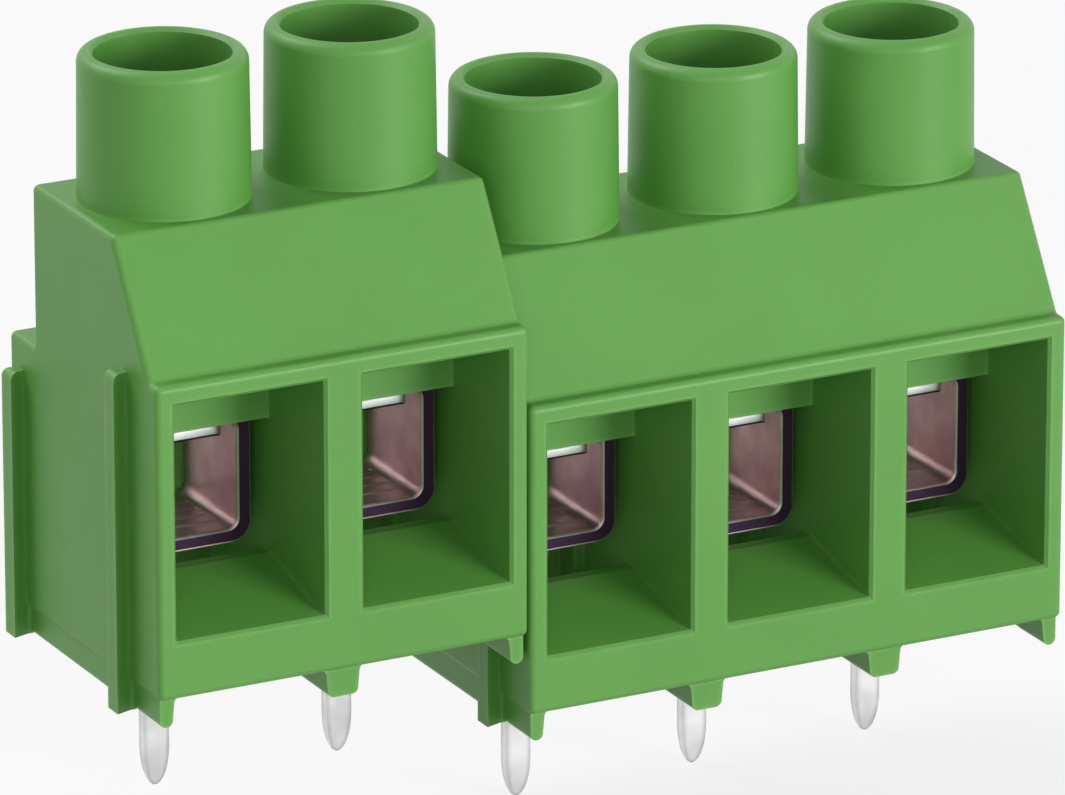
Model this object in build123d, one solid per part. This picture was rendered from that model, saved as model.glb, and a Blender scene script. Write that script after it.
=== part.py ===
"""PCB screw terminal block: a two pole and a three pole module joined by dovetail rails.

Millimetres. X runs along the row of poles, Y from the wire side to the back, Z up from the board.
The origin is where the middle pole's solder pin crosses the top of the circuit board.
The left module stands a little above the right one, as when it is being slid down its rails.
In each pole a captive screw lifts a clamp box, whose floor presses the wire up against a fixed
contact strip. The strip is bent down behind the box and ends as the solder pin.
"""
import os
from math import pi

from build123d import *

# Row of poles
POLE_PITCH = 7.62
LEFT_POLES = 2
RIGHT_POLES = 3
MODULE_LIFT = 3.2          # how far the left module still has to slide down
MODULE_GAP = 0.06          # air between the two modules' side faces
RAISED_POLE = 3            # this pole's clamp box is screwed up a little
RAISED_BY = 0.65

# Screw
THREAD_DIAMETER = 3.0
THREAD_PITCH = 0.5
HEAD_DIAMETER = 4.6
HEAD_HEIGHT = 1.9
HEAD_ROUND = 0.25
SLOT_WIDTH = 0.8
SLOT_DEPTH = 0.9
CROSS_LENGTH = 2.7
TIP_CHAMFER = 0.3
THREAD_PLAY = 0.05         # radial, shank to threaded hole
HEAD_PLAY = 0.05           # radial, head to its bore, and under the head
TIP_PLAY = 0.03            # screw tip to contact strip

# Screw tower
TOWER_HEIGHT = 5.6
TOWER_WALL = 0.66
TOWER_DRAFT = 0.07         # how much the radius shrinks from foot to rim
TOWER_RIM_ROUND = 0.42
DRIVER_STEP = 0.22         # driver bore is wider than the head's bore by this, all round
DRIVER_CLEARANCE = 0.25    # air above the screw head before the bore widens
MOUTH_ROUND = 0.14
SHANK_CLEARANCE = 0.2

# Clamp box, a drawn metal sleeve that the screw lifts
BOX_DEPTH = 4.6
BOX_FLOOR = 0.55
BOX_WALL = 0.58
BOX_TOP = 1.85             # thick enough for the thread
BOX_OUTER_ROUND = 0.8
BOX_INNER_ROUND = 0.4
BOX_EDGE = 0.08            # broken edge round both mouths
BOX_ROOF_PLAY = 0.05       # contact strip to the box's roof, with the clamp open
WIRE_SPACE_HEIGHT = 3.65   # box floor to contact strip, with the clamp open
CLOSED_GAP = 0.05
SERRATION_COUNT = 4
SERRATION_PITCH = 0.8
SERRATION_DEPTH = 0.12

# Contact strip, bent down behind the clamp box and forward under it to the solder pin
STRIP_WIDTH = 2.6
STRIP_THICKNESS = 0.52
STRIP_BEND = 0.2           # inner radius
STRIP_TIP_GAP = 0.12       # behind the clamp box's front
STRIP_CORNER = 0.4
STRIP_EDGE = 0.12
STRIP_PLAY = 0.05          # to its slot in the housing
RISER_GAP = 0.15           # behind the clamp box
JOG_GAP = 0.15             # under the clamp box
NECK_DROP = 0.3            # full width goes on below the jog by this
BARB_HEIGHT = 0.8
BARB_REACH = 0.04          # barbs that hold the riser in its slot
BARB_DROP = 2.0            # below the strip

# Solder pin
PIN_WIDTH = 1.0
PIN_LENGTH = 5.7           # below the top of the board
PIN_SETBACK = 1.45         # behind the screw axis
PIN_NOSE = 1.6             # length of the bullet end

# Moulded housing: walls, floors and steps
FOOT_HEIGHT = 1.1
FOOT_WIDTH = 1.4
END_FOOT_WIDTH = 0.6
FOOT_DRAFT = 0.1
FOOT_ROUND = 0.25
FOOT_ROOT_ROUND = 0.2
BOTTOM_RAIL = 2.25         # front wall below the wire window
WINDOW_HEIGHT = 9.1
TOP_RAIL = 0.8
LIP_DEPTH = 0.65           # flat shelf on top of the front frame
SLOPE_RISE = 4.75
PLATEAU_FRONT = 0.28       # plateau in front of and behind a tower
PLATEAU_BACK = 0.2
LEDGE_DEPTH = 2.2          # the lower body stands out at the back by this
LEDGE_DROP = 6.35          # ledge below the plateau
LEDGE_ROOF = 1.0
AXIS_DEPTH = 7.1           # screw axis behind the front face
WINDOW_WALL = 0.785        # window to pole boundary
FUNNEL_TAPER = 0.225       # each side wall closes in by this towards the clamp
SILL_RISE = 1.15
CEILING_DROP = 0.35
WINDOW_BEVEL = 0.12
LINTEL_THICKNESS = 0.5
LINTEL_LAP = 0.12          # lintel hangs below the top of the contact strip
SILL_STEP = 0.4            # open clamp box above the inner sill
CHAMBER_WALL = 0.96        # chamber to pole boundary
CHAMBER_PLAY = 0.05
BOX_SIDE_GAP = 0.52
GUIDE_LENGTH = 1.1         # side guides at the back of each chamber
SHOULDER_WEB = 1.1         # floor under the screw head
REAR_WALL = 0.75
REAR_SKIN = 0.9
EDGE_ROUND = 0.25

# Dovetail rails on the left side, and their grooves on the right side
RAIL_HEIGHT = 0.62
RAIL_WIDTH = 0.82
RAIL_UNDERCUT = 0.2
RAIL_PLAY = 0.05
RAIL_TOP_ROUND = 0.3
FRONT_RAIL_INSET = 2.3     # from the front face
BACK_RAIL_INSET = 0.63     # from the back face
FRONT_RAIL_TOP_DROP = 0.1  # below the top of the front frame
BACK_RAIL_TOP_DROP = 1.2   # below the ledge

# Plan, worked out from the sizes above
head_bore_r = HEAD_DIAMETER / 2 + HEAD_PLAY
driver_bore_r = head_bore_r + DRIVER_STEP
tower_r = driver_bore_r + TOWER_WALL
axis_y = -PIN_SETBACK
front_y = axis_y - AXIS_DEPTH
top_back_y = axis_y + tower_r + PLATEAU_BACK
base_back_y = top_back_y + LEDGE_DEPTH
slope_top_y = axis_y - tower_r - PLATEAU_FRONT
box_front_y = axis_y - BOX_DEPTH / 2
box_back_y = axis_y + BOX_DEPTH / 2
chamber_front_y = box_front_y - CHAMBER_PLAY
chamber_back_y = box_back_y + CHAMBER_PLAY
funnel_end_y = chamber_front_y - LINTEL_THICKNESS
strip_front_y = box_front_y + STRIP_TIP_GAP
riser_y = box_back_y + RISER_GAP + STRIP_THICKNESS / 2
slot_back_y = riser_y + STRIP_THICKNESS / 2 + STRIP_PLAY
rear_pocket_front_y = slot_back_y + REAR_WALL
rear_pocket_back_y = base_back_y - REAR_SKIN

# Widths of one pole
window_width = POLE_PITCH - 2 * WINDOW_WALL
inner_width = window_width - 2 * FUNNEL_TAPER
chamber_width = POLE_PITCH - 2 * CHAMBER_WALL
box_width = chamber_width - 2 * BOX_SIDE_GAP
box_inner_width = box_width - 2 * BOX_WALL

# Heights above the board for a module that is fully seated, with its clamps open
window_bottom_z = FOOT_HEIGHT + BOTTOM_RAIL
window_top_z = window_bottom_z + WINDOW_HEIGHT
frame_top_z = window_top_z + TOP_RAIL
plateau_z = frame_top_z + SLOPE_RISE
tower_top_z = plateau_z + TOWER_HEIGHT
ledge_z = plateau_z - LEDGE_DROP
inner_sill_z = window_bottom_z + SILL_RISE
inner_ceiling_z = window_top_z - CEILING_DROP
box_bottom_z = inner_sill_z + SILL_STEP
box_floor_z = box_bottom_z + BOX_FLOOR
strip_bottom_z = box_floor_z + WIRE_SPACE_HEIGHT
strip_top_z = strip_bottom_z + STRIP_THICKNESS
box_roof_z = strip_top_z + BOX_ROOF_PLAY
box_top_z = box_roof_z + BOX_TOP
clamp_travel = WIRE_SPACE_HEIGHT - CLOSED_GAP
ceiling_z = box_top_z + clamp_travel + CHAMBER_PLAY
shoulder_z = ceiling_z + SHOULDER_WEB
head_under_z = shoulder_z + HEAD_PLAY
head_top_z = head_under_z + HEAD_HEIGHT
driver_floor_z = head_top_z + DRIVER_CLEARANCE
screw_tip_z = strip_top_z + TIP_PLAY
lintel_z = strip_top_z - LINTEL_LAP
jog_z = box_bottom_z - JOG_GAP - STRIP_THICKNESS / 2
neck_z = jog_z - STRIP_THICKNESS / 2 - NECK_DROP
nose_z = PIN_NOSE - PIN_LENGTH


def upright_cylinder(radius, bottom, top):
    """Cylinder on the screw axis of a pole whose centre is X = 0."""
    return Pos(0, axis_y, bottom) * extrude(Circle(radius), amount=top - bottom)


def block(x_min, x_max, y_min, y_max, z_min, z_max):
    """Plain block between two corners."""
    size = (x_max - x_min, y_max - y_min, z_max - z_min)
    centre = ((x_min + x_max) / 2, (y_min + y_max) / 2, (z_min + z_max) / 2)
    return Pos(*centre) * Box(*size)


def body_shell(width):
    """Outer form of a module: the side view drawn once and pulled along the row."""
    side_view = Plane.YZ * make_face(Polyline(
        (front_y, FOOT_HEIGHT),
        (front_y, frame_top_z),
        (front_y + LIP_DEPTH, frame_top_z),
        (slope_top_y, plateau_z),
        (top_back_y, plateau_z),
        (top_back_y, ledge_z),
        (base_back_y, ledge_z),
        (base_back_y, FOOT_HEIGHT),
        close=True,
    ))
    shell = extrude(side_view, amount=width)
    return fillet(shell.edges(), EDGE_ROUND)


def foot_flank(half, inner):
    """One side of a foot's section, from inside the body down to the sole."""
    top = FOOT_HEIGHT + EDGE_ROUND
    if not inner:
        return [(half, top), (half, 0)]
    flare = half + 1.5 * FOOT_ROOT_ROUND
    return [(flare, top), (flare, FOOT_HEIGHT), (half, FOOT_HEIGHT), (half - FOOT_DRAFT, 0)]


def foot(centre_x, width, left_inner=True, right_inner=True):
    """Stand-off rib from front to back; an inner flank is drafted and rounded into the body."""
    half = width / 2
    left = [(-x, z) for x, z in foot_flank(half, left_inner)]
    right = foot_flank(half, right_inner)
    section = make_face(Polyline(*left, *reversed(right), close=True))
    roots = [v for v in section.vertices() if (abs(v.X), v.Y) == (half, FOOT_HEIGHT)]
    section = fillet(roots, FOOT_ROOT_ROUND)
    section = fillet(section.vertices().group_by(Axis.Y)[0], FOOT_ROUND)
    length = base_back_y - front_y - 2 * EDGE_ROUND
    return Pos(centre_x, front_y + EDGE_ROUND, 0) * extrude(Plane.XZ * section, amount=-length)


def feet(poles, width):
    """One rib under each side wall and under each wall between two poles."""
    side_x = MODULE_GAP / 2 + EDGE_ROUND / 2 + END_FOOT_WIDTH / 2
    ribs = [foot(side_x, END_FOOT_WIDTH, left_inner=False)]
    for boundary in range(1, poles):
        ribs.append(foot(boundary * POLE_PITCH, FOOT_WIDTH))
    ribs.append(foot(width + MODULE_GAP - side_x, END_FOOT_WIDTH, right_inner=False))
    return ribs


def rail_section(y_start):
    """Dovetail in plan on the side plane X = 0, wider at its outer face."""
    return make_face(Polyline(
        (0, y_start + RAIL_UNDERCUT),
        (-RAIL_HEIGHT, y_start),
        (-RAIL_HEIGHT, y_start + RAIL_WIDTH),
        (0, y_start + RAIL_WIDTH - RAIL_UNDERCUT),
        close=True,
    ))


def rail_places():
    """Front edge and top of each of the two rails."""
    back_rail_y = base_back_y - BACK_RAIL_INSET - RAIL_WIDTH
    return (
        (front_y + FRONT_RAIL_INSET, frame_top_z - FRONT_RAIL_TOP_DROP),
        (back_rail_y, ledge_z - BACK_RAIL_TOP_DROP),
    )


def rail(y_start, top_z):
    """Dovetail rail with a rounded top, rooted just inside the side wall."""
    root = block(-EDGE_ROUND / 4, EDGE_ROUND, y_start + RAIL_UNDERCUT,
                 y_start + RAIL_WIDTH - RAIL_UNDERCUT, 0, top_z - RAIL_TOP_ROUND)
    bar = extrude(rail_section(y_start), amount=top_z)
    outer_top = bar.edges().filter_by(Axis.Y).group_by(Axis.Z)[-1].sort_by(Axis.X)[0]
    return fillet(outer_top, RAIL_TOP_ROUND) + root


def groove(y_start, top_z):
    """Space for the next module's rail, open at the bottom."""
    section = offset(rail_section(y_start), amount=RAIL_PLAY, kind=Kind.INTERSECTION)
    below = FOOT_HEIGHT
    return Pos(0, 0, -below) * extrude(section, amount=top_z + RAIL_PLAY + below)


def tower():
    """Screw tower on the plateau, drafted, with a rounded rim."""
    rim_r = tower_r - TOWER_DRAFT
    wall = make_face(Polyline(
        (0, shoulder_z), (tower_r, shoulder_z), (tower_r, plateau_z),
        (rim_r, tower_top_z), (0, tower_top_z), close=True,
    ))
    wall = fillet(wall.vertices().filter_by(lambda v: v.X > rim_r / 2).group_by(Axis.Y)[-1], TOWER_RIM_ROUND)
    return Pos(0, axis_y, 0) * revolve(Plane.XZ * wall, Axis.Z)


def screw_bore():
    """Stepped bore: driver way, head way and shank hole, down into the chamber."""
    mouth_r = driver_bore_r + MOUTH_ROUND
    shank_r = THREAD_DIAMETER / 2 + SHANK_CLEARANCE
    half = make_face(Polyline(
        (0, ceiling_z - CHAMBER_PLAY), (shank_r, ceiling_z - CHAMBER_PLAY), (shank_r, shoulder_z),
        (head_bore_r, shoulder_z), (head_bore_r, driver_floor_z), (driver_bore_r, driver_floor_z),
        (driver_bore_r, tower_top_z - MOUTH_ROUND), (mouth_r, tower_top_z),
        (mouth_r, tower_top_z + MOUTH_ROUND), (0, tower_top_z + MOUTH_ROUND), close=True,
    ))
    return Pos(0, axis_y, 0) * revolve(Plane.XZ * half, Axis.Z)


def window_section(y, width, bottom, top):
    """Upright rectangle across the wire's way."""
    return Plane.XZ.offset(-y) * Pos(0, (bottom + top) / 2) * Rectangle(width, top - bottom)


def wire_funnel():
    """Bevelled window whose floor and walls lead the wire to the clamp."""
    bevelled_y = front_y + WINDOW_BEVEL
    outside_y = front_y - WINDOW_BEVEL
    bevel = loft([
        window_section(outside_y, window_width + 4 * WINDOW_BEVEL,
                       window_bottom_z - 2 * WINDOW_BEVEL, window_top_z + 2 * WINDOW_BEVEL),
        window_section(bevelled_y, window_width, window_bottom_z, window_top_z),
    ])
    throat = loft([
        window_section(bevelled_y, window_width, window_bottom_z, window_top_z),
        window_section(funnel_end_y, inner_width, inner_sill_z, inner_ceiling_z),
    ])
    inner_opening = block(-inner_width / 2, inner_width / 2, funnel_end_y - CHAMBER_PLAY,
                          chamber_front_y + CHAMBER_PLAY, inner_sill_z, lintel_z)
    return bevel + throat + inner_opening


def chamber():
    """Shaft in which one clamp box rises, open below, with a guide left standing on each side."""
    half = chamber_width / 2
    guide_reach = BOX_SIDE_GAP - CHAMBER_PLAY
    shaft = block(-half, half, chamber_front_y, chamber_back_y, 0, ceiling_z)
    for side in (-1, 1):
        edges = sorted((side * half, side * (half - guide_reach)))
        shaft -= block(*edges, chamber_back_y - GUIDE_LENGTH, chamber_back_y, 0, ceiling_z)
    return shaft + strip_slot()


def strip_slot():
    """Slot in the chamber's back wall for the riser of the contact strip."""
    half = STRIP_WIDTH / 2 + STRIP_PLAY
    return block(-half, half, chamber_back_y - CHAMBER_PLAY, slot_back_y, 0, strip_top_z + STRIP_PLAY)


def rear_pocket():
    """Core under the ledge that keeps the back walls even, open below."""
    half = chamber_width / 2
    return block(-half, half, rear_pocket_front_y, rear_pocket_back_y, 0, ledge_z - LEDGE_ROOF)


def housing(poles):
    """One moulded module, its left pole boundary on X = 0 and its feet on Z = 0."""
    side = MODULE_GAP / 2
    width = poles * POLE_PITCH - MODULE_GAP
    body = Pos(side, 0, 0) * body_shell(width)
    body += feet(poles, width)
    centres = [(index + 0.5) * POLE_PITCH for index in range(poles)]
    body += [Pos(x, 0, 0) * tower() for x in centres]
    body += [Pos(side, 0, 0) * rail(*place) for place in rail_places()]
    for x in centres:
        for hollow in (wire_funnel(), chamber(), rear_pocket(), screw_bore()):
            body -= Pos(x, 0, 0) * hollow
    for place in rail_places():
        body -= Pos(poles * POLE_PITCH + side, 0, 0) * groove(*place)
    return body


def clamp_box():
    """Drawn sleeve round the wire space, with a threaded roof and a serrated floor."""
    height = box_top_z - box_bottom_z
    inner_height = box_roof_z - box_floor_z
    face = Plane.XZ.offset(-box_back_y)
    outline = face * Pos(0, box_bottom_z + height / 2) * RectangleRounded(box_width, height, BOX_OUTER_ROUND)
    hollow = face * Pos(0, box_floor_z + inner_height / 2) * RectangleRounded(
        box_inner_width, inner_height, BOX_INNER_ROUND)
    sleeve = extrude(outline, amount=BOX_DEPTH) - extrude(hollow, amount=BOX_DEPTH)
    mouths = sleeve.edges().filter_by(
        lambda e: abs(e.bounding_box().size.Y) < BOX_EDGE / 10)
    sleeve = chamfer(mouths, BOX_EDGE)
    sleeve -= upright_cylinder(THREAD_DIAMETER / 2 + THREAD_PLAY, box_roof_z - BOX_EDGE, box_top_z + BOX_EDGE)
    first = -(SERRATION_COUNT - 1) / 2
    for index in range(SERRATION_COUNT):
        sleeve -= serration(axis_y + (first + index) * SERRATION_PITCH)
    return sleeve


def serration(y):
    """Shallow V groove across the clamp box floor."""
    half_length = box_inner_width / 2 - BOX_INNER_ROUND
    groove_face = Plane.YZ * make_face(Polyline(
        (y - SERRATION_DEPTH, box_floor_z + SERRATION_DEPTH / 10),
        (y + SERRATION_DEPTH, box_floor_z + SERRATION_DEPTH / 10),
        (y, box_floor_z - SERRATION_DEPTH), close=True,
    ))
    return Pos(-half_length, 0, 0) * extrude(groove_face, amount=2 * half_length)


def clamp_screw():
    """Captive screw: slotted head and a shank with a chamfered tip."""
    head = upright_cylinder(HEAD_DIAMETER / 2, head_under_z, head_top_z)
    head = fillet(head.edges().group_by(Axis.Z)[-1], HEAD_ROUND)
    slot_floor_z = head_top_z - SLOT_DEPTH
    head -= Pos(0, axis_y, 0) * block(-HEAD_DIAMETER, HEAD_DIAMETER, -SLOT_WIDTH / 2, SLOT_WIDTH / 2,
                                      slot_floor_z, head_top_z + HEAD_ROUND)
    head -= Pos(0, axis_y, 0) * block(-SLOT_WIDTH / 2, SLOT_WIDTH / 2, -CROSS_LENGTH / 2, CROSS_LENGTH / 2,
                                      slot_floor_z, head_top_z + HEAD_ROUND)
    shank = upright_cylinder(THREAD_DIAMETER / 2, screw_tip_z, head_under_z)
    return head + chamfer(shank.edges().group_by(Axis.Z)[0], TIP_CHAMFER)


def contact_side():
    """Side view of strip, riser, jog and pin as one bent band with a bullet nose."""
    half = STRIP_THICKNESS / 2
    path = FilletPolyline(
        (strip_front_y, strip_bottom_z + half), (riser_y, strip_bottom_z + half),
        (riser_y, jog_z), (0, jog_z), (0, nose_z), radius=STRIP_BEND + half,
    )
    return trace(path, STRIP_THICKNESS) + Pos(0, nose_z) * Ellipse(half, PIN_NOSE)


def contact_front():
    """Front view of the stamped blank: wide strip with two barbs, then the narrow pin."""
    blank = Pos(0, (neck_z + strip_top_z) / 2) * Rectangle(STRIP_WIDTH, strip_top_z - neck_z)
    blank += Pos(0, (nose_z + neck_z) / 2) * Rectangle(PIN_WIDTH, neck_z - nose_z)
    blank += Pos(0, nose_z) * Ellipse(PIN_WIDTH / 2, PIN_NOSE)
    barb_z = strip_bottom_z - BARB_DROP
    tip = STRIP_WIDTH / 2 + BARB_REACH
    blank += make_face(Polyline(
        (-tip, barb_z - BARB_HEIGHT), (tip, barb_z - BARB_HEIGHT),
        (STRIP_WIDTH / 2, barb_z), (-STRIP_WIDTH / 2, barb_z), close=True,
    ))
    return blank


def solder_pin():
    """Contact strip and solder pin, stamped from one blank and bent."""
    side = extrude(Plane.YZ * contact_side(), amount=STRIP_WIDTH, both=True)
    front = extrude(Plane.XZ * contact_front(), amount=base_back_y - front_y, both=True)
    strip = side & front
    lower_tip = strip.edges().filter_by(Axis.X).group_by(Axis.Y)[0].sort_by(Axis.Z)[0]
    strip = chamfer(lower_tip, STRIP_EDGE)
    return fillet(strip.edges().filter_by(Axis.Z).group_by(Axis.Y)[0], STRIP_CORNER)


def export(solid, name):
    """Write one named piece."""
    export_step(solid, f"parts/{name}.step")


def main():
    os.makedirs("parts", exist_ok=True)
    total = LEFT_POLES + RIGHT_POLES
    row_start = -(LEFT_POLES + 0.5) * POLE_PITCH
    boundary = row_start + LEFT_POLES * POLE_PITCH
    export(Pos(row_start, 0, MODULE_LIFT) * housing(LEFT_POLES), "housing_two_pole")
    export(Pos(boundary, 0, 0) * housing(RIGHT_POLES), "housing_three_pole")
    box, screw, pin = clamp_box(), clamp_screw(), solder_pin()
    for pole in range(1, total + 1):
        x = row_start + (pole - 0.5) * POLE_PITCH
        lift = MODULE_LIFT if pole <= LEFT_POLES else 0
        raised = RAISED_BY if pole == RAISED_POLE else 0
        export(Pos(x, 0, lift + raised) * box, f"clamp_box_{pole}")
        export(Pos(x, 0, lift) * screw, f"clamp_screw_{pole}")
        export(Pos(x, 0, lift) * pin, f"solder_pin_{pole}")
    print("clamp travel", round(clamp_travel, 4), "mm,", round(clamp_travel / THREAD_PITCH, 3), "turns,",
          round(THREAD_PITCH / (2 * pi), 6), "mm per radian")
    print("driver bore radius", round(driver_bore_r, 3), "from", round(driver_floor_z, 3),
          "to", round(tower_top_z - MOUTH_ROUND, 3))


main()
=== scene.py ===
"""Looks of the circuit board terminal block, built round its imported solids.

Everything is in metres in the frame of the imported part: X runs along the row of poles, Y from the wire
side to the back, and Z up from the circuit board.
"""
from __future__ import annotations

import logging
import math
from dataclasses import dataclass, field
from enum import Enum

import bmesh
import bpy
from mathutils import Matrix, Vector

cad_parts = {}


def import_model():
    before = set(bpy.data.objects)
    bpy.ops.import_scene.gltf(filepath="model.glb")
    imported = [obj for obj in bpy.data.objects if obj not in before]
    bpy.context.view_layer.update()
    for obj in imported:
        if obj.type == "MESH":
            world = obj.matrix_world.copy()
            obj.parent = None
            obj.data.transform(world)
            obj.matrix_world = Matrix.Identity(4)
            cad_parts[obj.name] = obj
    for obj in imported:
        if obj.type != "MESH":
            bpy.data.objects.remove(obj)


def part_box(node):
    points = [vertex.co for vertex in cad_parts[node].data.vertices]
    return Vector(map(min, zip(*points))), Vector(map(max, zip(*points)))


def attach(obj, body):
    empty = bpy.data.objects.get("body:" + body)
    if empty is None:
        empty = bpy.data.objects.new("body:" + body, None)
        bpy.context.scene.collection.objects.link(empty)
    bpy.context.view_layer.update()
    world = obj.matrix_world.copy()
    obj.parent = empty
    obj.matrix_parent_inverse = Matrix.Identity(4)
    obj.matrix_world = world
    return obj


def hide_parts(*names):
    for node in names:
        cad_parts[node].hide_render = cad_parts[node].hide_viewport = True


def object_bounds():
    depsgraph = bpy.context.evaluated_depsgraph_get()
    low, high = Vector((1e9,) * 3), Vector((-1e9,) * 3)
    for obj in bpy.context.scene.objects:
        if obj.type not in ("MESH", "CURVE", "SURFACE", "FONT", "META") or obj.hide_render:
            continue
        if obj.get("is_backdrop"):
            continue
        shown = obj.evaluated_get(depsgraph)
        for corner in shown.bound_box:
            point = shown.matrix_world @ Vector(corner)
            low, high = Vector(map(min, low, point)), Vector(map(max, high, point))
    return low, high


LOG = logging.getLogger("terminal_block")
MM = 0.001
POLES = 5
PHOTO_WIDTH = 1065
PLASTIC_IOR = 1.5
EDGE_GAIN = 3.0
Colour = tuple[float, float, float]
WHITE: Colour = (1.0, 1.0, 1.0)


class Slot(Enum):
    """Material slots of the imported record."""

    HOUSING = "green_plastic"
    CLAMP = "clamp_metal"
    SCREW = "screw_metal"
    PIN = "tinned_pin"


def channel_light(value: int) -> float:
    """Turns one channel from 0 to 255, as read on a screen, into linear light."""
    share = value / 255
    return share / 12.92 if share <= 0.04045 else ((share + 0.055) / 1.055) ** 2.4


def linear(red: int, green: int, blue: int) -> Colour:
    """Turns a colour as read on a screen into the linear values of a shader.

    Args:
        red: Red from 0 to 255.
        green: Green from 0 to 255.
        blue: Blue from 0 to 255.

    Returns:
        The same colour in linear light.
    """
    return channel_light(red), channel_light(green), channel_light(blue)


class Graph:
    """Short way to fill a node tree."""

    def __init__(self, tree: bpy.types.NodeTree) -> None:
        """Takes the tree to fill."""
        self.tree = tree

    def node(self, kind: str, **settings: object) -> bpy.types.Node:
        """Adds a node.

        Args:
            kind: Blender's name of the node type.
            settings: Properties of the node.

        Returns:
            The new node.
        """
        made = self.tree.nodes.new(kind)
        for name, value in settings.items():
            setattr(made, name, value)
        return made

    def feed(self, node: bpy.types.Node, **inputs: object) -> bpy.types.Node:
        """Sets or links a node's inputs.

        Args:
            node: The node whose inputs are filled.
            inputs: Socket name with _ for a blank, or i0, i1 for a number, to a value or an output socket.

        Returns:
            The same node.
        """
        for name, value in inputs.items():
            key = int(name[1:]) if name[0] == "i" and name[1:].isdigit() else name.replace("_", " ")
            socket = node.inputs[key]
            if isinstance(value, bpy.types.NodeSocket):
                self.tree.links.new(value, socket)
            elif isinstance(value, tuple) and socket.type == "RGBA" and len(value) == 3:
                socket.default_value = (*value, 1.0)
            else:
                socket.default_value = value
        return node

    def maths(self, operation: str, *values: object, clamp: bool = False) -> bpy.types.NodeSocket:
        """Adds a Math node.

        Args:
            operation: Blender's name of the operation.
            values: Up to three numbers or sockets.
            clamp: Whether the result stays between 0 and 1.

        Returns:
            The node's output.
        """
        made = self.node("ShaderNodeMath", operation=operation, use_clamp=clamp)
        self.feed(made, **{f"i{index}": value for index, value in enumerate(values)})
        return made.outputs[0]

    def ramp(self, value: object, low: float, high: float, start: float = 0.0, end: float = 1.0
             ) -> bpy.types.NodeSocket:
        """Maps a range onto another one with soft ends.

        Args:
            value: The number or socket that is mapped.
            low: Value that gives start.
            high: Value that gives end.
            start: Lowest result.
            end: Highest result.

        Returns:
            The mapped value.
        """
        made = self.node("ShaderNodeMapRange", interpolation_type="SMOOTHSTEP")
        self.feed(made, Value=value, From_Min=low, From_Max=high, To_Min=start, To_Max=end)
        return made.outputs["Result"]

    def blend(self, share: object, first: object, second: object) -> bpy.types.NodeSocket:
        """Mixes two colours.

        Args:
            share: How much of the second colour, from 0 to 1.
            first: The first colour or its socket.
            second: The second colour or its socket.

        Returns:
            The mixed colour.
        """
        made = self.node("ShaderNodeMix", data_type="RGBA")
        for index, value in ((0, share), (6, first), (7, second)):
            self.feed(made, **{f"i{index}": value})
        return made.outputs[2]


@dataclass(frozen=True)
class Port:
    """One named input or output of an effect group."""

    name: str
    kind: str = "NodeSocketFloat"
    value: object = 0.0


class Effect:
    """A shader node group that several finishes use with their own values."""

    name: str = "effect"
    inputs: tuple[Port, ...] = ()
    outputs: tuple[Port, ...] = ()

    def __init__(self) -> None:
        """Builds the group once."""
        self.tree = bpy.data.node_groups.new(self.name, "ShaderNodeTree")
        for port in self.inputs:
            made = self.tree.interface.new_socket(port.name, in_out="INPUT", socket_type=port.kind)
            made.default_value = (*port.value, 1.0) if port.kind == "NodeSocketColor" else port.value
        for port in self.outputs:
            self.tree.interface.new_socket(port.name, in_out="OUTPUT", socket_type=port.kind)
        graph = Graph(self.tree)
        source = graph.node("NodeGroupInput")
        sink = graph.node("NodeGroupOutput")
        results = self.fill(graph, {port.name: source.outputs[port.name] for port in self.inputs})
        for name, socket in results.items():
            self.tree.links.new(socket, sink.inputs[name])

    def fill(self, graph: Graph, ports: dict[str, bpy.types.NodeSocket]) -> dict[str, bpy.types.NodeSocket]:
        """Makes the group's nodes.

        Args:
            graph: The group's tree.
            ports: The group's inputs by name.

        Returns:
            The sockets that feed the outputs, by name.
        """
        raise NotImplementedError

    def place(self, graph: Graph, **values: object) -> bpy.types.Node:
        """Puts the group into a material.

        Args:
            graph: The material's tree.
            values: Input values or sockets, with _ for a blank in a name.

        Returns:
            The group node.
        """
        made = graph.node("ShaderNodeGroup", node_tree=self.tree)
        return graph.feed(made, **values)

    @staticmethod
    def noise(graph: Graph, vector: object, scale: object, detail: float = 3.0) -> bpy.types.NodeSocket:
        """Adds a noise texture and returns its value."""
        made = graph.node("ShaderNodeTexNoise")
        graph.feed(made, Vector=vector, Scale=scale, Detail=detail)
        return made.outputs["Fac"]


class MouldSkin(Effect):
    """Fine pitted skin that a spark-eroded mould leaves on plastic."""

    name = "mould_skin"
    inputs = (Port("Grain", value=9000.0), Port("Wave", value=500.0), Port("Wave Share", value=0.5))
    outputs = (Port("Height"),)
    pit_range = (0.1, 0.75)

    def fill(self, graph: Graph, ports: dict[str, bpy.types.NodeSocket]) -> dict[str, bpy.types.NodeSocket]:
        """Makes pits from cells and slow waves from noise.

        Args:
            graph: The group's tree.
            ports: The group's inputs by name.

        Returns:
            Height of the skin.
        """
        place = graph.node("ShaderNodeTexCoord").outputs["Object"]
        cells = graph.node("ShaderNodeTexVoronoi", feature="F1")
        graph.feed(cells, Vector=place, Scale=ports["Grain"])
        pits = graph.ramp(cells.outputs["Distance"], *self.pit_range)
        wave = self.noise(graph, place, ports["Wave"])
        return {"Height": graph.maths("MULTIPLY_ADD", wave, ports["Wave Share"], pits)}


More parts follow.
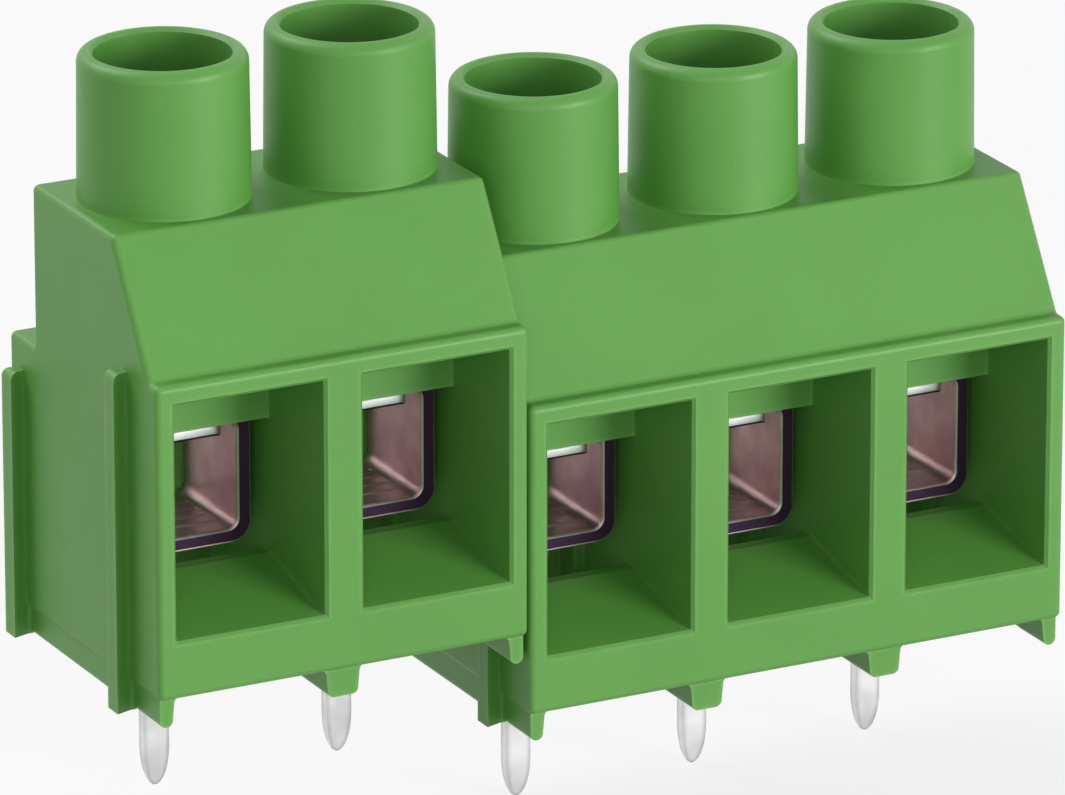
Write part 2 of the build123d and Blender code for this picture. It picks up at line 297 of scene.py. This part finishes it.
class Mottle(Effect):
    """Slow changes of colour and gloss over a surface."""

    name = "mottle"
    inputs = (Port("Colour", "NodeSocketColor", (0.5, 0.5, 0.5)),
              Port("Shade", "NodeSocketColor", (0.4, 0.4, 0.4)),
              Port("Scale", value=200.0), Port("Amount", value=0.3), Port("Gloss", value=0.4),
              Port("Gloss Spread", value=0.06))
    outputs = (Port("Colour", "NodeSocketColor"), Port("Roughness"))
    broad_detail = 4.0
    fine_detail = 2.0
    fine_ratio = 6.5
    patch_range = (0.3, 0.7)

    def fill(self, graph: Graph, ports: dict[str, bpy.types.NodeSocket]) -> dict[str, bpy.types.NodeSocket]:
        """Mixes two colours and two roughness values by two layers of noise.

        Args:
            graph: The group's tree.
            ports: The group's inputs by name.

        Returns:
            The mottled colour and roughness.
        """
        place = graph.node("ShaderNodeTexCoord").outputs["Object"]
        broad_noise = self.noise(graph, place, ports["Scale"], self.broad_detail)
        broad = graph.ramp(broad_noise, *self.patch_range)
        fine_scale = graph.maths("MULTIPLY", ports["Scale"], self.fine_ratio)
        fine = self.noise(graph, place, fine_scale, self.fine_detail)
        share = graph.maths("MULTIPLY", broad, ports["Amount"], clamp=True)
        colour = graph.blend(share, ports["Colour"], ports["Shade"])
        swing = graph.maths("MULTIPLY_ADD", graph.maths("ADD", broad, fine), 0.5, -0.5)
        rough = graph.maths("MULTIPLY_ADD", swing, ports["Gloss Spread"], ports["Gloss"])
        return {"Colour": colour, "Roughness": rough}


class EdgeBreak(Effect):
    """Mask of the corners of a piece, where the finishes put wear, painted highlights and painted shade."""

    name = "edge_break"
    inputs = (Port("Radius", value=0.0002), Port("Gain", value=4.0), Port("Patch Scale", value=900.0))
    outputs = (Port("Mask"), Port("Soft Normal", "NodeSocketVector"))
    samples = 2
    patch_range = (0.3, 0.6)
    patch_share = (0.45, 1.0)

    def fill(self, graph: Graph, ports: dict[str, bpy.types.NodeSocket]) -> dict[str, bpy.types.NodeSocket]:
        """Compares the rounded normal with the true one.

        Args:
            graph: The group's tree.
            ports: The group's inputs by name.

        Returns:
            The mask of corners and the rounded normal.
        """
        rounded = graph.node("ShaderNodeBevel", samples=self.samples)
        graph.feed(rounded, Radius=ports["Radius"])
        geometry = graph.node("ShaderNodeNewGeometry")
        likeness = graph.node("ShaderNodeVectorMath", operation="DOT_PRODUCT")
        graph.feed(likeness, i0=rounded.outputs[0], i1=geometry.outputs["Normal"])
        turned = graph.maths("SUBTRACT", 1.0, likeness.outputs["Value"], clamp=True)
        place = graph.node("ShaderNodeTexCoord").outputs["Object"]
        patch_noise = self.noise(graph, place, ports["Patch Scale"])
        patches = graph.ramp(patch_noise, *self.patch_range, *self.patch_share)
        strong = graph.maths("MULTIPLY", turned, ports["Gain"], clamp=True)
        return {"Mask": graph.maths("MULTIPLY", strong, patches), "Soft Normal": rounded.outputs[0]}


class DrawLines(Effect):
    """Fine lines that rolling, drawing or turning leaves on metal, along one axis."""

    name = "draw_lines"
    inputs = (Port("Scale", value=2000.0), Port("Along", "NodeSocketVector", (1.0, 1.0, 1.0)),
              Port("Blotch Scale", value=700.0))
    outputs = (Port("Height"), Port("Blotch"))
    line_detail = 5.0
    blotch_detail = 4.0
    blotch_range = (0.35, 0.7)

    def fill(self, graph: Graph, ports: dict[str, bpy.types.NodeSocket]) -> dict[str, bpy.types.NodeSocket]:
        """Stretches noise along the direction of the lines.

        Args:
            graph: The group's tree.
            ports: The group's inputs by name.

        Returns:
            Height of the lines and a mask of dull patches.
        """
        place = graph.node("ShaderNodeTexCoord").outputs["Object"]
        squeezed = graph.node("ShaderNodeVectorMath", operation="MULTIPLY")
        graph.feed(squeezed, i0=place, i1=ports["Along"])
        lines = self.noise(graph, squeezed.outputs[0], ports["Scale"], self.line_detail)
        blotches = self.noise(graph, place, ports["Blotch Scale"], self.blotch_detail)
        return {"Height": lines, "Blotch": graph.ramp(blotches, *self.blotch_range)}


@dataclass
class Effects:
    """The effect groups, each built once."""

    skin: MouldSkin = field(default_factory=MouldSkin)
    mottle: Mottle = field(default_factory=Mottle)
    edges: EdgeBreak = field(default_factory=EdgeBreak)
    lines: DrawLines = field(default_factory=DrawLines)


def new_material(name: str, colour: Colour) -> tuple[bpy.types.Material, Graph, bpy.types.Node]:
    """Makes a material with only a Principled BSDF.

    Args:
        name: The material's name.
        colour: The colour that the viewport shows.

    Returns:
        The material, its graph and its shader node.
    """
    material = bpy.data.materials.new(name)
    material.use_nodes = True
    material.diffuse_color = (*colour, 1.0)
    graph = Graph(material.node_tree)
    return material, graph, material.node_tree.nodes["Principled BSDF"]


def bump(graph: Graph, shader: bpy.types.Node, height: bpy.types.NodeSocket, depth: float, strength: float,
         normal: bpy.types.NodeSocket | None = None) -> None:
    """Feeds a height into a shader's normal.

    Args:
        graph: The material's graph.
        shader: The Principled BSDF.
        height: The height's socket.
        depth: Depth of the bump in metres.
        strength: Strength of the bump.
        normal: A normal to start from.
    """
    made = graph.node("ShaderNodeBump")
    graph.feed(made, Strength=strength, Distance=depth, Height=height)
    if normal is not None:
        graph.feed(made, Normal=normal)
    graph.feed(shader, Normal=made.outputs["Normal"])


@dataclass(frozen=True)
class MouldedPlastic:
    """Satin plastic of the housings."""

    name: str = "moulded_plastic"
    colour: Colour = linear(88, 149, 63)
    shade: Colour = linear(81, 142, 57)
    # Painted highlight: corners and tower rims are lightened towards this colour.
    edge: Colour = linear(142, 188, 120)
    mottle_scale: float = 160.0
    mottle_share: float = 0.6
    gloss: float = 0.46
    gloss_spread: float = 0.08
    sheen: float = 0.45
    edge_reach: float = 0.3 * MM
    edge_share: float = 0.5
    edge_patches: float = 700.0
    grain_scale: float = 7000.0
    grain_depth: float = 0.006 * MM
    grain_strength: float = 0.35
    wave_scale: float = 420.0
    wave_share: float = 0.8

    def build(self, effects: Effects) -> bpy.types.Material:
        """Builds the material.

        Args:
            effects: The shared effect groups.

        Returns:
            The material.
        """
        material, graph, shader = new_material(self.name, self.colour)
        mottled = effects.mottle.place(graph, Colour=self.colour, Shade=self.shade, Scale=self.mottle_scale,
                                       Amount=self.mottle_share, Gloss=self.gloss,
                                       Gloss_Spread=self.gloss_spread)
        corner = effects.edges.place(graph, Radius=self.edge_reach, Gain=EDGE_GAIN,
                                     Patch_Scale=self.edge_patches)
        # Painted highlight: the corners are lightened towards the edge colour, as if catching light.
        lit = graph.maths("MULTIPLY", corner.outputs["Mask"], self.edge_share)
        colour = graph.blend(lit, mottled.outputs["Colour"], self.edge)
        skin = effects.skin.place(graph, Grain=self.grain_scale, Wave=self.wave_scale,
                                  Wave_Share=self.wave_share)
        graph.feed(shader, Base_Color=colour, Roughness=mottled.outputs["Roughness"])
        graph.feed(shader, IOR=PLASTIC_IOR, Specular_IOR_Level=self.sheen)
        bump(graph, shader, skin.outputs["Height"], self.grain_depth, self.grain_strength)
        return material


@dataclass(frozen=True)
class PlatedMetal:
    """Plated sheet or turned metal, whose faces on one side may carry painted shade, darker than the rest.
    """

    name: str
    colour: Colour
    dull: Colour
    gloss: float
    along: tuple[float, float, float]
    line_scale: float = 2500.0
    line_depth: float = 0.004 * MM
    line_strength: float = 0.5
    blotch: float = 0.4
    blotch_scale: float = 620.0
    mottle_scale: float = 900.0
    mottle_share: float = 0.25
    gloss_spread: float = 0.12
    # Lighter edge colour of the plating: partly wear, partly a painted highlight.
    edge: Colour = linear(245, 243, 240)
    edge_share: float = 0.35
    edge_reach: float = 0.08 * MM
    edge_patches: float = 2200.0
    # Painted shade: colour and extra roughness given to the faces that turn to shaded_side.
    shaded: Colour | None = None
    shaded_side: tuple[float, float, float] = (0.0, -1.0, 0.0)
    shaded_from: float = 0.82
    shaded_blend: float = 0.15
    shaded_roughening: float = 0.2

    def build(self, effects: Effects) -> bpy.types.Material:
        """Builds the material.

        Args:
            effects: The shared effect groups.

        Returns:
            The material.
        """
        material, graph, shader = new_material(self.name, self.colour)
        lines = effects.lines.place(graph, Scale=self.line_scale, Along=self.along,
                                    Blotch_Scale=self.blotch_scale)
        spots = graph.maths("MULTIPLY", lines.outputs["Blotch"], self.blotch)
        plated = graph.blend(spots, self.colour, self.dull)
        mottled = effects.mottle.place(graph, Colour=plated, Shade=self.dull, Scale=self.mottle_scale,
                                       Amount=self.mottle_share, Gloss=self.gloss,
                                       Gloss_Spread=self.gloss_spread)
        corner = effects.edges.place(graph, Radius=self.edge_reach, Gain=EDGE_GAIN,
                                     Patch_Scale=self.edge_patches)
        # Corners take the edge colour: partly wear and partly a painted highlight on clamps and screws,
        # painted shade on the pins.
        edge_wear_and_painted_light = graph.maths("MULTIPLY", corner.outputs["Mask"], self.edge_share)
        colour = graph.blend(edge_wear_and_painted_light, mottled.outputs["Colour"], self.edge)
        rough = mottled.outputs["Roughness"]
        # Painted shade: faces that turn to one side are darkened and roughened, standing in for shadow and
        # dark reflection.
        if self.shaded is not None:
            ends = self.side_mask(graph)
            colour = graph.blend(ends, colour, self.shaded)
            rough = graph.maths("MULTIPLY_ADD", ends, self.shaded_roughening, rough)
        graph.feed(shader, Base_Color=colour, Metallic=1.0, Roughness=rough)
        bump(graph, shader, lines.outputs["Height"], self.line_depth, self.line_strength,
             corner.outputs["Soft Normal"])
        return material

    def side_mask(self, graph: Graph) -> bpy.types.NodeSocket:
        """Masks the faces that turn to one side, where painted shade goes, such as the front ends of a
        sleeve.

        Args:
            graph: The material's graph.

        Returns:
            1 on the faces that turn to that side, 0 on their broken edges and on the other faces.
        """
        likeness = graph.node("ShaderNodeVectorMath", operation="DOT_PRODUCT")
        normal = graph.node("ShaderNodeTexCoord").outputs["Normal"]
        graph.feed(likeness, i0=normal, i1=self.shaded_side)
        full = self.shaded_from + self.shaded_blend
        return graph.ramp(likeness.outputs["Value"], self.shaded_from, full)


@dataclass
class Finishes:
    """All materials of the block."""

    plastic: bpy.types.Material
    clamp: bpy.types.Material
    screw: bpy.types.Material
    pin: bpy.types.Material

    @classmethod
    def mixed(cls) -> Finishes:
        """Builds every material."""
        effects = Effects()
        # The sleeve's faces that turn to the front get painted shade, a dark purple standing in for the
        # shade inside the chamber.
        clamp = PlatedMetal("sleeve_plating", linear(222, 198, 198), linear(172, 144, 148), gloss=0.38,
                            along=(1.0, 0.06, 1.0), shaded=linear(60, 44, 64))
        screw = PlatedMetal("zinc_plating", linear(214, 213, 208), linear(170, 168, 166), gloss=0.28,
                            along=(1.0, 1.0, 8.0), line_scale=1200.0)
        pin = PlatedMetal("tin_plating", linear(228, 229, 228), linear(186, 187, 189), gloss=0.34,
                          along=(1.0, 1.0, 0.08), line_depth=0.003 * MM, blotch=0.55,
                          # Painted shade: the pins' rounded edges are darkened to grey, where they turn away
                          # from the light.
                          edge=linear(158, 158, 161), edge_share=0.7, edge_reach=0.3 * MM,
                          # Painted shade: the faces that turn down are made nearly black, as if in shadow.
                          shaded=linear(52, 48, 52), shaded_side=(0.0, 0.0, -1.0), shaded_from=0.5)
        return cls(plastic=MouldedPlastic().build(effects), clamp=clamp.build(effects),
                   screw=screw.build(effects), pin=pin.build(effects))


def dress(name: str, material: bpy.types.Material) -> bpy.types.Object:
    """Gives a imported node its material.

    Args:
        name: The node's name.
        material: The material.

    Returns:
        The node's object.
    """
    node = bpy.data.objects[name]
    node.data.materials.clear()
    node.data.materials.append(material)
    LOG.info("%s dressed with %s", name, material.name)
    return node


def smooth(thing: bpy.types.Object, degrees: float) -> None:
    """Shades a mesh smooth up to an angle.

    Args:
        thing: The mesh object.
        degrees: Edges that turn more than this stay sharp.
    """
    bpy.context.view_layer.objects.active = thing
    thing.select_set(True)
    bpy.ops.object.shade_smooth_by_angle(angle=math.radians(degrees))
    thing.select_set(False)


@dataclass
class MouldedHousings:
    """The two moulded housings with their towers, funnels and rails."""

    modules: tuple[tuple[str, str], ...] = (("housing_two_pole", "two_pole_module"),
                                            ("housing_three_pole", "three_pole_module"))
    lintel_height: float = 9.5 * MM
    lintel_rise: float = 0.28 * MM
    lintel_front: float = -4.3 * MM
    lintel_back: float = -3.8 * MM
    slack: float = 0.02 * MM

    def raise_lintels(self, housing: bpy.types.Object) -> int:
        """Lifts the lower edge of each lintel, so that the contact strip shows under it.

        Args:
            housing: The housing's object.

        Returns:
            How many points were lifted.
        """
        foot = min(corner[2] for corner in housing.bound_box)
        lifted = 0
        for point in housing.data.vertices:
            across = self.lintel_front - self.slack < point.co.y < self.lintel_back + self.slack
            if across and abs(point.co.z - foot - self.lintel_height) < self.slack:
                point.co.z += self.lintel_rise
                lifted += 1
        return lifted

    def build(self, finishes: Finishes) -> list[bpy.types.Object]:
        """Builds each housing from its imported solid, with the lintels' lower edges raised.

        Args:
            finishes: The block's materials.

        Returns:
            The housings.
        """
        made = []
        for node, body in self.modules:
            housing = bpy.data.objects.new(f"moulded_{node}", bpy.data.objects[node].data.copy())
            bpy.context.scene.collection.objects.link(housing)
            lifted = self.raise_lintels(housing)
            housing.data.materials.clear()
            housing.data.materials.append(finishes.plastic)
            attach(housing, body)
            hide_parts(node)
            LOG.info("%s built, %d lintel points lifted", housing.name, lifted)
            made.append(housing)
        return made


@dataclass
class WireClamps:
    """The drawn metal boxes that rise, and the contact strips that end as solder pins."""

    poles: int = POLES

    def dress(self, finishes: Finishes) -> list[bpy.types.Object]:
        """Gives the clamps their plating.

        Args:
            finishes: The block's materials.

        Returns:
            The dressed pieces.
        """
        made = []
        for pole in range(1, self.poles + 1):
            made.append(dress(f"clamp_box_{pole}", finishes.clamp))
            made.append(dress(f"solder_pin_{pole}", finishes.pin))
        return made


class RingStack:
    """Closed round mesh made of rings of points, one above the other."""

    def __init__(self, sides: int) -> None:
        """Starts an empty stack whose rings have that many points."""
        self.sides = sides
        self.shape = bmesh.new()
        self.rings: list[list[bmesh.types.BMVert]] = []

    def ring(self, radii: list[float], height: float) -> None:
        """Adds a ring whose points have their own radii.

        Args:
            radii: Radius of each point.
            height: Height of the ring.
        """
        angles = [math.tau * side / self.sides for side in range(self.sides)]
        self.rings.append([self.shape.verts.new((r * math.cos(a), r * math.sin(a), height))
                           for r, a in zip(radii, angles)])

    def round(self, radius: float, height: float) -> None:
        """Adds a round ring."""
        self.ring([radius] * self.sides, height)

    def finish(self, name: str) -> bpy.types.Object:
        """Joins the rings, closes both ends and makes the object.

        Args:
            name: Name of the object and its mesh.

        Returns:
            The new object.
        """
        for low, high in zip(self.rings, self.rings[1:]):
            for side in range(self.sides):
                after = (side + 1) % self.sides
                self.shape.faces.new((low[side], low[after], high[after], high[side]))
        self.shape.faces.new(self.rings[0][::-1])
        self.shape.faces.new(self.rings[-1])
        bmesh.ops.recalc_face_normals(self.shape, faces=self.shape.faces)
        mesh = bpy.data.meshes.new(name)
        self.shape.to_mesh(mesh)
        self.shape.free()
        made = bpy.data.objects.new(name, mesh)
        bpy.context.scene.collection.objects.link(made)
        return made


@dataclass
class ThreadedScrew:
    """Captive screw with a cut thread, a slotted head and a chamfered tip."""

    head_r: float = 2.3 * MM
    head_height: float = 1.9 * MM
    head_round: float = 0.28 * MM
    under_round: float = 0.1 * MM
    round_steps: int = 6
    broken_edge: float = 0.05 * MM
    broken_from: float = 50.0
    smooth_angle: float = 35.0
    thread_r: float = 1.5 * MM
    thread_pitch: float = 0.5 * MM
    thread_depth: float = 0.29 * MM
    thread_top_gap: float = 0.9 * MM
    root_flat: float = 0.12
    flank_share: float = 0.72
    fade_start: float = 0.1
    fade_rate: float = 1.2
    rows_per_turn: int = 12
    tip_height: float = 0.2 * MM
    neck_r: float = 1.2 * MM
    slot_width: float = 0.8 * MM
    slot_depth: float = 0.9 * MM
    cross_length: float = 2.7 * MM
    sides: int = 64

    def head_mesh(self, top: float) -> bpy.types.Object:
        """Builds the head, its slot and its cross.

        Args:
            top: Height of the head's top.

        Returns:
            The head as a mesh object with its cuts applied.
        """
        bottom = top - self.head_height
        stack = RingStack(self.sides)
        stack.round(self.head_r - self.under_round, bottom)
        stack.round(self.head_r, bottom + self.under_round)
        for turn in (math.radians(90 * step / self.round_steps) for step in range(self.round_steps + 1)):
            stack.round(self.head_r - self.head_round * (1 - math.cos(turn)),
                        top - self.head_round * (1 - math.sin(turn)))
        head = stack.finish("screw_head")
        cuts = {"slot": (4 * self.head_r, self.slot_width), "cross": (self.slot_width, self.cross_length)}
        for name, size in cuts.items():
            cutter = self.bar(name, size, top - self.slot_depth, top + self.slot_depth)
            cut = head.modifiers.new(name, "BOOLEAN")
            cut.operation = "DIFFERENCE"
            cut.solver = "EXACT"
            cut.object = cutter
        rounding = head.modifiers.new("broken_edges", "BEVEL")
        rounding.width = self.broken_edge
        rounding.segments = 2
        rounding.limit_method = "ANGLE"
        rounding.angle_limit = math.radians(self.broken_from)
        self.apply(head)
        for name in cuts:
            bpy.data.objects.remove(bpy.data.objects[name])
        return head

    @staticmethod
    def apply(thing: bpy.types.Object) -> None:
        """Keeps what the modifiers make and removes them.

        Args:
            thing: The object to settle.
        """
        bpy.context.view_layer.update()
        view = bpy.context.evaluated_depsgraph_get()
        settled = bpy.data.meshes.new_from_object(thing.evaluated_get(view))
        thing.modifiers.clear()
        thing.data = settled

    def bar(self, name: str, size: tuple[float, float], bottom: float, top: float) -> bpy.types.Object:
        """Builds a cutting bar.

        Args:
            name: Name of the object.
            size: Its length along X and Y.
            bottom: Its lower side.
            top: Its upper side.

        Returns:
            The bar.
        """
        mesh = bpy.data.meshes.new(name)
        shape = bmesh.new()
        bmesh.ops.create_cube(shape, size=1.0, matrix=Matrix.Translation((0, 0, (bottom + top) / 2))
                              @ Matrix.Diagonal((*size, top - bottom, 1.0)))
        shape.to_mesh(mesh)
        shape.free()
        made = bpy.data.objects.new(name, mesh)
        bpy.context.scene.collection.objects.link(made)
        return made

    def thread_radius(self, turns: float, fade: float) -> float:
        """Radius of the thread's surface.

        Args:
            turns: Place across the thread's form, in turns.
            fade: From 0, no thread, to 1, full thread.

        Returns:
            The radius there.
        """
        share = turns % 1.0
        flank = min(max((abs(share - 0.5) * 2 - self.root_flat) / self.flank_share, 0.0), 1.0)
        return self.thread_r - self.thread_depth * (1 - flank) * fade

    def shank_mesh(self, bottom: float, top: float) -> bpy.types.Object:
        """Builds the threaded shank.

        Args:
            bottom: Lower end of the screw.
            top: Underside of the head.

        Returns:
            The shank.
        """
        core_r = self.thread_r - self.thread_depth
        start = bottom + self.tip_height
        end = top - self.thread_top_gap
        rows = int((end - start) / self.thread_pitch * self.rows_per_turn)
        stack = RingStack(self.sides)
        stack.round(core_r - self.tip_height / 2, bottom)
        for row in range(rows + 1):
            height = start + (end - start) * row / rows
            from_end = min(row, rows - row)
            fade = min(1.0, self.fade_rate * from_end / self.rows_per_turn + self.fade_start)
            turns = (height - start) / self.thread_pitch
            stack.ring([self.thread_radius(turns - side / self.sides, fade)
                        for side in range(self.sides)], height)
        stack.round(self.neck_r, end + self.tip_height / 2)
        stack.round(self.neck_r, top + self.under_round)
        return stack.finish("screw_shank")

    def build(self, poles: int, finishes: Finishes) -> list[bpy.types.Object]:
        """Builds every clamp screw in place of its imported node.

        Args:
            poles: How many poles the block has.
            finishes: The block's materials.

        Returns:
            The screws.
        """
        made = []
        for pole in range(1, poles + 1):
            node = f"clamp_screw_{pole}"
            low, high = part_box(node)
            centre = (low + high) / 2
            head = self.head_mesh(high.z)
            shank = self.shank_mesh(low.z, high.z - self.head_height)
            with bpy.context.temp_override(active_object=head, selected_editable_objects=[head, shank]):
                bpy.ops.object.join()
            head.name = f"threaded_screw_{pole}"
            head.data.name = head.name
            head.location = (centre.x, centre.y, 0.0)
            bpy.context.view_layer.update()
            head.data.transform(head.matrix_world)
            head.matrix_world = Matrix.Identity(4)
            head.data.materials.clear()
            head.data.materials.append(finishes.screw)
            smooth(head, self.smooth_angle)
            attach(head, f"screw_body_{pole}")
            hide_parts(node)
            LOG.info("%s built", head.name)
            made.append(head)
        return made


@dataclass(frozen=True)
class Lamp:
    """Soft lamp that looks at the object.

    Its azimuth is in degrees to the right of the front, seen from above, and its elevation in degrees above
    the floor. Its level is the light on a surface that faces it, where 1 shows a colour as it is written.
    """

    name: str
    azimuth: float
    elevation: float
    size: tuple[float, float]
    level: float
    distance: float = 0.5


@dataclass
class Studio:
    """Pale floor, soft lamps and an even world."""

    floor_size: float = 6.0
    floor_colour: Colour = (0.86, 0.86, 0.86)
    floor_bounce: Colour = (0.45, 0.45, 0.45)
    floor_white: float = 0.8
    ambient: float = 0.34
    aim_height: float = 9 * MM
    lamps: tuple[Lamp, ...] = (Lamp("key_lamp", 29, 8, (0.24, 0.2), 0.82),
                               Lamp("fill_lamp", -28, 14, (0.24, 0.2), 0.2),
                               Lamp("rear_left_lamp", -146, 50, (0.3, 0.3), 0.58))

    def floor(self, height: float) -> bpy.types.Object:
        """Lays the floor under the longest pins.

        Args:
            height: Height of the floor.

        Returns:
            The floor.
        """
        mesh = bpy.data.meshes.new("floor")
        half = self.floor_size / 2
        corners = [(-half, -half, height), (half, -half, height),
                   (half, half, height), (-half, half, height)]
        mesh.from_pydata(corners, [], [(0, 1, 2, 3)])
        made = bpy.data.objects.new("floor", mesh)
        bpy.context.scene.collection.objects.link(made)
        material, graph, shader = new_material("floor_paper", self.floor_colour)
        ray = graph.node("ShaderNodeLightPath")
        paper = graph.blend(ray.outputs["Is Diffuse Ray"], self.floor_colour, self.floor_bounce)
        graph.feed(shader, Base_Color=paper, Roughness=1.0, Specular_IOR_Level=0.0)
        glow = graph.feed(graph.node("ShaderNodeEmission"), Color=WHITE, Strength=1.0)
        seen = graph.maths("MAXIMUM", ray.outputs["Is Camera Ray"], ray.outputs["Is Glossy Ray"])
        share = graph.maths("MULTIPLY", seen, self.floor_white)
        mixed = graph.node("ShaderNodeMixShader")
        graph.feed(mixed, i0=share, i1=shader.outputs[0], i2=glow.outputs[0])
        graph.feed(material.node_tree.nodes["Material Output"], Surface=mixed.outputs[0])
        mesh.materials.append(material)
        made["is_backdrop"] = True
        return made

    def world(self) -> None:
        """Lights the object evenly and shows white behind it."""
        world = bpy.data.worlds.new("studio")
        world.use_nodes = True
        bpy.context.scene.world = world
        graph = Graph(world.node_tree)
        plain = world.node_tree.nodes["Background"]
        graph.feed(plain, Color=WHITE, Strength=self.ambient)
        white = graph.feed(graph.node("ShaderNodeBackground"), Color=WHITE, Strength=1.0)
        ray = graph.node("ShaderNodeLightPath")
        seen = graph.maths("MAXIMUM", ray.outputs["Is Camera Ray"], ray.outputs["Is Glossy Ray"])
        seen = graph.maths("MAXIMUM", seen, ray.outputs["Is Transmission Ray"])
        mixed = graph.node("ShaderNodeMixShader")
        graph.feed(mixed, i0=seen, i1=plain.outputs[0], i2=white.outputs[0])
        graph.feed(world.node_tree.nodes["World Output"], Surface=mixed.outputs[0])

    def hang(self, lamp: Lamp) -> None:
        """Hangs one lamp.

        Args:
            lamp: Its place, size and light.
        """
        turn, lift = math.radians(lamp.azimuth), math.radians(lamp.elevation)
        out = Vector((math.sin(turn) * math.cos(lift), -math.cos(turn) * math.cos(lift), math.sin(lift)))
        data = bpy.data.lights.new(lamp.name, "AREA")
        data.shape = "RECTANGLE"
        data.size, data.size_y = lamp.size
        data.energy = lamp.level * math.pi * math.pi * lamp.distance * lamp.distance
        made = bpy.data.objects.new(lamp.name, data)
        bpy.context.scene.collection.objects.link(made)
        made.location = Vector((0.0, 0.0, self.aim_height)) + out * lamp.distance
        made.rotation_euler = (-out).to_track_quat("-Z", "Y").to_euler()
        made.visible_camera = False

    def build(self, floor_height: float) -> None:
        """Sets up floor, world and lamps.

        Args:
            floor_height: Height of the floor.
        """
        self.floor(floor_height)
        self.world()
        for lamp in self.lamps:
            self.hang(lamp)
        bpy.context.scene.view_settings.view_transform = "Standard"
        LOG.info("studio ready")


@dataclass
class PhotoCamera:
    """Camera at the photograph's angle."""

    place: tuple[float, float, float] = (-0.174111, -0.337761, 0.143478)
    azimuth: float = 27.367
    elevation: float = 19.299
    focal_pixels: float = 10668.06
    sensor: float = 36.0
    clip: tuple[float, float] = (0.01, 20.0)

    def build(self) -> bpy.types.Object:
        """Makes the scene's camera.

        Returns:
            The camera.
        """
        data = bpy.data.cameras.new("photo_camera")
        data.sensor_width = self.sensor
        data.lens = self.focal_pixels / PHOTO_WIDTH * self.sensor
        data.clip_start, data.clip_end = self.clip
        made = bpy.data.objects.new("photo_camera", data)
        bpy.context.scene.collection.objects.link(made)
        turn, lift = math.radians(self.azimuth), math.radians(self.elevation)
        forward = Vector((math.sin(turn) * math.cos(lift), math.cos(turn) * math.cos(lift), -math.sin(lift)))
        made.location = self.place
        made.rotation_euler = forward.to_track_quat("-Z", "Y").to_euler()
        bpy.context.scene.camera = made
        return made


def main() -> None:
    """Builds the looks in order."""
    logging.basicConfig(level=logging.INFO, format="%(name)s %(message)s")
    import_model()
    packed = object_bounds()
    finishes = Finishes.mixed()
    PhotoCamera().build()
    MouldedHousings().build(finishes)
    WireClamps().dress(finishes)
    ThreadedScrew().build(POLES, finishes)
    Studio().build(packed[0].z)


if __name__ == "__main__":
    main()
